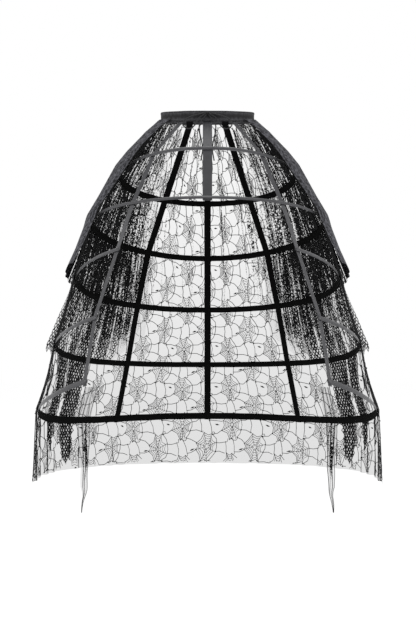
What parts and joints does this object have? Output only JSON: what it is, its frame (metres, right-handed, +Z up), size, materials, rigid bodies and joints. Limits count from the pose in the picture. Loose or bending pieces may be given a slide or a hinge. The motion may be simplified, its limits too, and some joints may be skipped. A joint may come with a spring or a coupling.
{
  "type": "crinoline cage",
  "caption": "Open-front hooped petticoat cage: tilted boned hoops on tapes from an elastic waistband, with gathered web lace round the sides and back and a tied drawstring.",
  "frame": {"origin": "middle of the waist hole, level with the middle of the waistband in front, where the waist holds it", "axes": "+Z up along the wearer's body, -Y towards the open front, +X to the viewer's right"},
  "size_m": [0.9748, 0.9541, 1.195],
  "materials": {
    "ruched_elastic": "ruched elastic",
    "casing_tape": "satin woven tape",
    "hoop_bone": "smooth strip",
    "woven_tape": "satin woven tape",
    "web_lace": "open lace",
    "fishnet": "open net",
    "drawstring_cord": "braided cord"
  },
  "bodies": {
    "root": {"back_tape_left": "woven_tape", "back_tape_right": "woven_tape", "bow_knot": "drawstring_cord", "bow_loop_left": "drawstring_cord", "bow_loop_right": "drawstring_cord", "bow_tail_left": "drawstring_cord", "bow_tail_right": "drawstring_cord", "centre_back_tape": "woven_tape", "centre_front_tape": "woven_tape", "front_tape_left": "woven_tape", "front_tape_right": "woven_tape", "hoop_bone_1": "hoop_bone", "hoop_bone_2": "hoop_bone", "hoop_bone_3": "hoop_bone", "hoop_bone_4": "hoop_bone", "hoop_bone_5": "hoop_bone", "hoop_casing_1": "casing_tape", "hoop_casing_2": "casing_tape", "hoop_casing_3": "casing_tape", "hoop_casing_4": "casing_tape", "hoop_casing_5": "casing_tape", "lace_skirt": "web_lace", "lace_tail_left": "fishnet", "lace_tail_right": "fishnet", "middle_flounce_left": "fishnet", "middle_flounce_right": "fishnet", "upper_flounce_left": "web_lace", "upper_flounce_right": "web_lace", "waistband": "ruched_elastic"}
  },
  "joints": []
}
